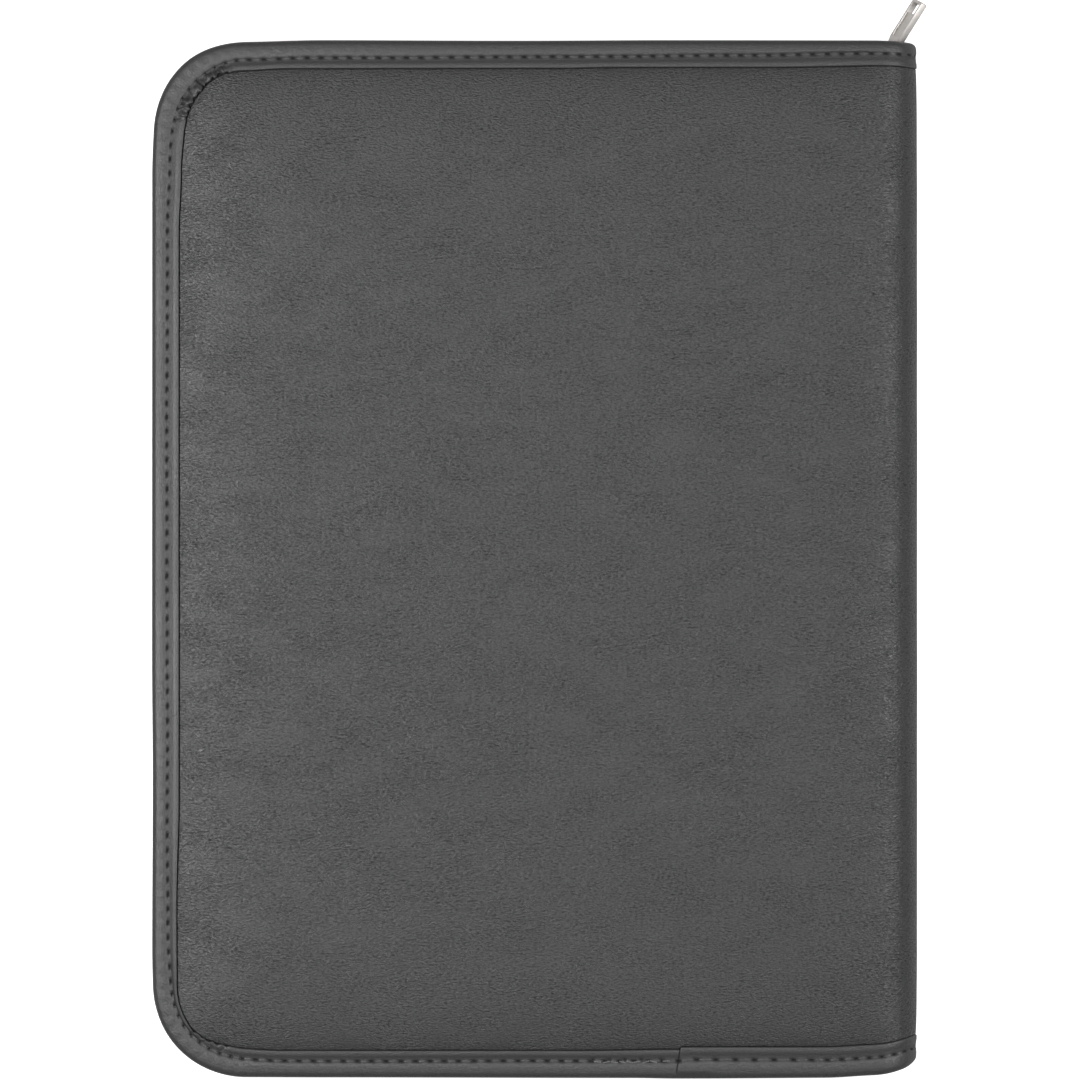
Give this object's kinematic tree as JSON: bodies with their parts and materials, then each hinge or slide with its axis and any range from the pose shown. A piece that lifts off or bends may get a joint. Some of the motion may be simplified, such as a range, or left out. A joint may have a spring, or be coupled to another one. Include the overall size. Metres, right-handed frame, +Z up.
{
  "type": "zippered padfolio",
  "caption": "Zip-round padfolio in padded grey leatherette with a bound edge, a soft rolled spine, a writing pad, pockets and a pen loop inside.",
  "frame": {"origin": "on the table under the middle of the covers, on the front cover's outer face, which it lies on", "axes": "+X to the spine, +Y along the spine to the closed end of the zip, +Z up to the back cover"},
  "size_m": [0.2535, 0.3544, 0.024],
  "materials": {
    "cover_leatherette": "satin",
    "binding_leatherette": "satin",
    "padding_foam": "matte",
    "cover_board": "matte",
    "lining_cloth": "matte",
    "zip_tape": "matte",
    "zip_teeth": "satin",
    "zip_metal": "satin",
    "pocket_cloth": "matte",
    "pad_board": "matte",
    "paper": "matte",
    "head_tape": "satin",
    "elastic": "matte"
  },
  "bodies": {
    "front_cover": {"front_cover_skin": "cover_leatherette", "front_cover_foam": "padding_foam", "front_cover_board": "cover_board", "front_cover_lining": "lining_cloth", "front_binding": "binding_leatherette", "front_zip_tape": "zip_tape", "front_zip_teeth": "zip_teeth", "front_zip_stops": "zip_metal", "document_pocket": "pocket_cloth", "card_slot_upper": "pocket_cloth", "card_slot_lower": "pocket_cloth"},
    "spine_lower": {"spine_lower_skin": "cover_leatherette", "spine_lower_foam": "padding_foam", "spine_lower_lining": "lining_cloth", "spine_lower_binding": "binding_leatherette"},
    "spine_middle": {"spine_middle_skin": "cover_leatherette", "spine_middle_foam": "padding_foam", "spine_middle_lining": "lining_cloth", "spine_middle_binding": "binding_leatherette"},
    "spine_upper": {"spine_upper_skin": "cover_leatherette", "spine_upper_foam": "padding_foam", "spine_upper_lining": "lining_cloth", "spine_upper_binding": "binding_leatherette"},
    "back_cover": {"back_cover_skin": "cover_leatherette", "back_cover_foam": "padding_foam", "back_cover_board": "cover_board", "back_cover_lining": "lining_cloth", "back_binding": "binding_leatherette", "back_zip_tape": "zip_tape", "back_zip_teeth": "zip_teeth", "back_zip_stops": "zip_metal", "pad_sleeve": "pocket_cloth", "pad_backing_board": "pad_board", "pad_sheets": "paper", "pad_head_tape": "head_tape", "pen_loop": "elastic"},
    "zip_slider": {"slider_body": "zip_metal"},
    "zip_pull": {"pull_tab": "zip_metal"}
  },
  "joints": [
    {"name": "front_fold", "type": "hinge", "parent": "front_cover", "child": "spine_lower", "pos_m": [0.11759, 0, 0.00091], "axis": [0, 1, 0], "range_deg": [0, 45]},
    {"name": "lower_fold", "type": "hinge", "parent": "front_cover", "child": "spine_middle", "pos_m": [0.12218, 0, 0.00282], "axis": [0, 1, 0], "range_deg": [0, 90]},
    {"name": "upper_fold", "type": "hinge", "parent": "spine_middle", "child": "spine_upper", "pos_m": [0.12409, 0, 0.01659], "axis": [0, 1, 0], "range_deg": [0, 45]},
    {"name": "back_fold", "type": "hinge", "parent": "spine_middle", "child": "back_cover", "pos_m": [0.12218, 0, 0.02118], "axis": [0, 1, 0], "range_deg": [0, 90], "deforming": ["front_zip_teeth", "back_zip_teeth"]},
    {"name": "slider_travel", "type": "slide", "parent": "front_cover", "child": "zip_slider", "axis": [-1, 0, 0], "range_m": [0, 0.195], "deforming": ["front_zip_teeth", "back_zip_teeth"]},
    {"name": "pull_swing", "type": "hinge", "parent": "zip_slider", "child": "zip_pull", "pos_m": [0.11602, 0.1664, 0.012], "axis": [0, 0, 1], "range_deg": [-3, 92]}
  ],
  "couplings": [
    {"joint": "front_fold", "follows": "back_fold", "ratio": 0.5},
    {"joint": "lower_fold", "follows": "back_fold", "ratio": 1},
    {"joint": "upper_fold", "follows": "back_fold", "ratio": 0.5}
  ]
}
